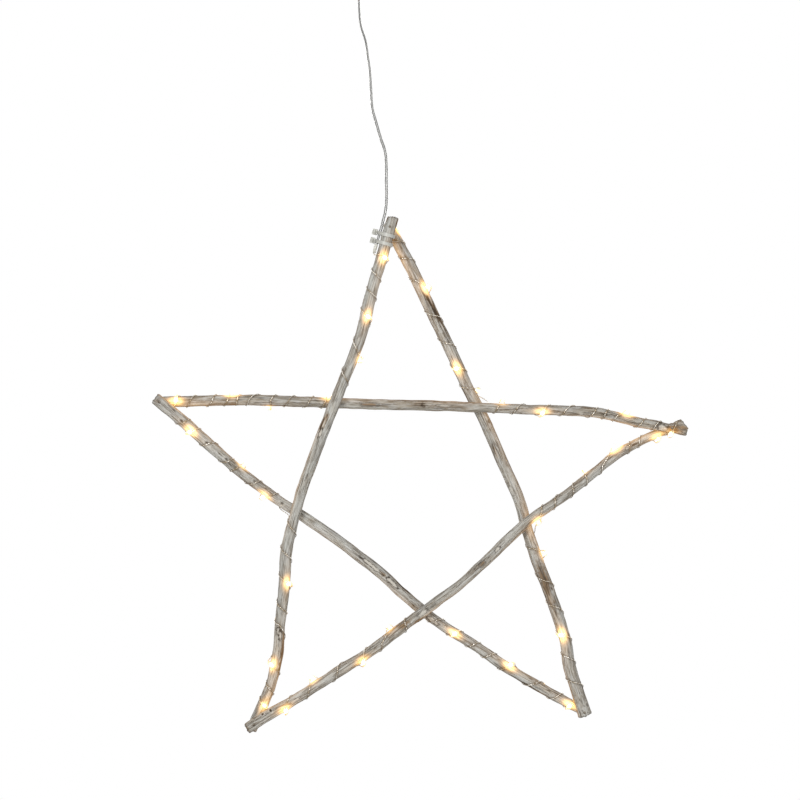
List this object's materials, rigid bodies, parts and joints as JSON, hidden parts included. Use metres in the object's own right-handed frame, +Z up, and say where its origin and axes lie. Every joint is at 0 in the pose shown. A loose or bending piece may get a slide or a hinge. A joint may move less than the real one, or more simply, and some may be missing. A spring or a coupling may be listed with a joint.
{
  "type": "led christmas star",
  "caption": "Hanging star of nailed whitewashed branches, wound with a wire of LED drops and hung by its clear lead from a ceiling hook.",
  "frame": {"origin": "on the ceiling, centre of the hook plate's flat top", "axes": "+Z up, +X to the star's right seen from the front, -Y to the front of the star"},
  "size_m": [0.4996, 0.033, 0.7615],
  "materials": {
    "whitewashed_wood": "whitewashed, weathered",
    "nail_steel": "dull, dark",
    "silver_wire": "silvered, twisted pair",
    "led_epoxy": "clear, warm white core",
    "clear_pvc": "clear, glossy",
    "natural_nylon": "translucent, satin",
    "white_lacquer": "white, satin",
    "white_plastic": "moulded, satin"
  },
  "bodies": {
    "hook": {"ceiling_hook": "white_lacquer"},
    "star": {"branch_left_leg": "whitewashed_wood", "branch_right_leg": "whitewashed_wood", "branch_crossbar": "whitewashed_wood", "branch_falling": "whitewashed_wood", "branch_rising": "whitewashed_wood", "tip_nail_top": "nail_steel", "tip_nail_left": "nail_steel", "tip_nail_right": "nail_steel", "tip_nail_lower_left": "nail_steel", "tip_nail_lower_right": "nail_steel", "led_wire": "silver_wire", "led_drop_01": "led_epoxy", "led_drop_02": "led_epoxy", "led_drop_03": "led_epoxy", "led_drop_04": "led_epoxy", "led_drop_05": "led_epoxy", "led_drop_06": "led_epoxy", "led_drop_07": "led_epoxy", "led_drop_08": "led_epoxy", "led_drop_09": "led_epoxy", "led_drop_10": "led_epoxy", "led_drop_11": "led_epoxy", "led_drop_12": "led_epoxy", "led_drop_13": "led_epoxy", "led_drop_14": "led_epoxy", "led_drop_15": "led_epoxy", "led_drop_16": "led_epoxy", "led_drop_17": "led_epoxy", "led_drop_18": "led_epoxy", "led_drop_19": "led_epoxy", "led_drop_20": "led_epoxy", "led_drop_21": "led_epoxy", "led_drop_22": "led_epoxy", "led_drop_23": "led_epoxy", "led_drop_24": "led_epoxy", "led_drop_25": "led_epoxy", "led_drop_26": "led_epoxy", "led_drop_27": "led_epoxy", "led_drop_28": "led_epoxy", "led_drop_29": "led_epoxy", "led_drop_30": "led_epoxy", "led_drop_31": "led_epoxy", "led_drop_32": "led_epoxy", "led_drop_33": "led_epoxy", "led_drop_34": "led_epoxy", "led_drop_35": "led_epoxy", "led_drop_36": "led_epoxy", "led_drop_37": "led_epoxy", "led_drop_38": "led_epoxy", "led_drop_39": "led_epoxy", "led_drop_40": "led_epoxy", "splice_sleeve": "clear_pvc", "power_lead": "clear_pvc", "cable_tie_upper": "natural_nylon", "cable_tie_lower": "natural_nylon", "loop_tie": "natural_nylon", "lead_connector": "white_plastic"}
  },
  "joints": [
    {"name": "star_swing", "type": "hinge", "parent": "hook", "child": "star", "pos_m": [0, 0, -0.026], "axis": [1, 0, 0], "range_deg": [-30, 30]}
  ]
}
